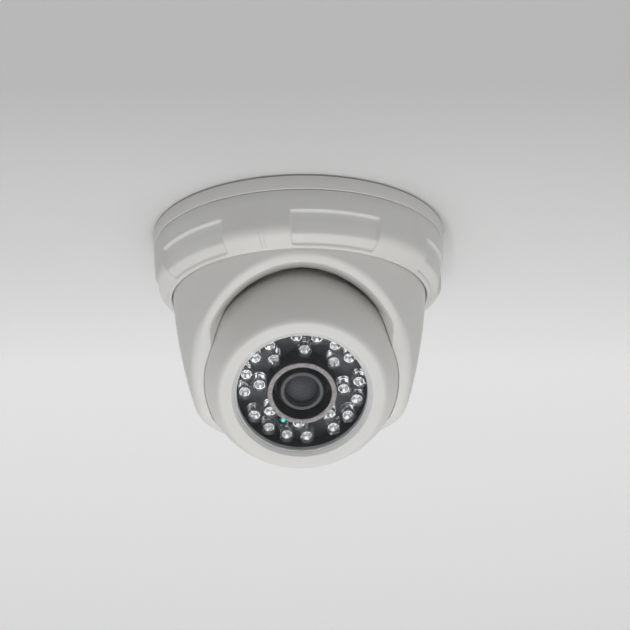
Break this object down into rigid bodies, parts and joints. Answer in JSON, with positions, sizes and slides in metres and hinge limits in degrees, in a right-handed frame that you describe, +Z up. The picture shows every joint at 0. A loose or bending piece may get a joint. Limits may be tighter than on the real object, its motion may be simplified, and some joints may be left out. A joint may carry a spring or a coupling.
{
  "type": "dome security camera",
  "caption": "Ceiling dome camera: a twist-off cover ring holds a panning hood, and a ball with a lens and infrared lamps behind a clear window tilts in the hood.",
  "frame": {"origin": "centre of the flat face that meets the ceiling, on the pan axis", "axes": "+Z up into the ceiling and along the pan axis; the hood opens towards -Y at rest"},
  "size_m": [0.11, 0.11, 0.0903],
  "materials": {
    "white_housing": "fine satin moulded white",
    "black_rubber": "matt",
    "clear_silicone": "satin",
    "steel": "plated",
    "window_acrylic": "polished clear",
    "lens_glass": "coated and polished",
    "led_resin": "clear moulded",
    "sensor_resin": "dark gloss",
    "black_plastic": "matt black",
    "lamp_board_mask": "black solder mask",
    "sensor_board_mask": "green solder mask",
    "grey_foam": "open-cell foam"
  },
  "bodies": {
    "base": {"base_plate": "white_housing", "pan_brake_ring": "black_rubber"},
    "ring": {"cover_ring": "white_housing"},
    "turret": {"hood": "white_housing", "ball_clamp": "white_housing", "clamp_screw_1": "steel", "clamp_screw_2": "steel", "clamp_screw_3": "steel"},
    "camera_ball": {"ball_front_shell": "white_housing", "ball_rear_shell": "white_housing", "cable_grommet": "black_rubber", "window": "window_acrylic", "window_seal": "clear_silicone", "lamp_carrier": "black_plastic", "lamp_board": "lamp_board_mask", "board_screw_1": "steel", "board_screw_2": "steel", "board_screw_3": "steel", "ir_led_01": "led_resin", "ir_led_02": "led_resin", "ir_led_03": "led_resin", "ir_led_04": "led_resin", "ir_led_05": "led_resin", "ir_led_06": "led_resin", "ir_led_07": "led_resin", "ir_led_08": "led_resin", "ir_led_09": "led_resin", "ir_led_10": "led_resin", "ir_led_11": "led_resin", "ir_led_12": "led_resin", "ir_led_13": "led_resin", "ir_led_14": "led_resin", "ir_led_15": "led_resin", "ir_led_16": "led_resin", "ir_led_17": "led_resin", "ir_led_18": "led_resin", "ir_led_19": "led_resin", "ir_led_20": "led_resin", "ir_led_21": "led_resin", "ir_led_22": "led_resin", "ir_led_23": "led_resin", "ir_led_24": "led_resin", "light_sensor": "sensor_resin", "foam_light_ring": "grey_foam", "lens_barrel": "black_plastic", "front_lens": "lens_glass", "lens_holder": "black_plastic", "sensor_board": "sensor_board_mask", "image_sensor": "black_plastic", "board_standoff_1": "steel", "board_standoff_2": "steel", "board_standoff_3": "steel"}
  },
  "joints": [
    {"name": "ring_twist", "type": "hinge", "parent": "base", "child": "ring", "pos_m": [0, 0, 0], "axis": [0, 0, 1], "range_deg": [0, 30]},
    {"name": "hood_pan", "type": "hinge", "parent": "base", "child": "turret", "pos_m": [0, 0, 0], "axis": [0, 0, 1], "range_deg": [-177, 177]},
    {"name": "ball_tilt", "type": "hinge", "parent": "turret", "child": "camera_ball", "pos_m": [0, 0, -0.0538], "axis": [1, 0, 0], "range_deg": [-25, 39]}
  ]
}
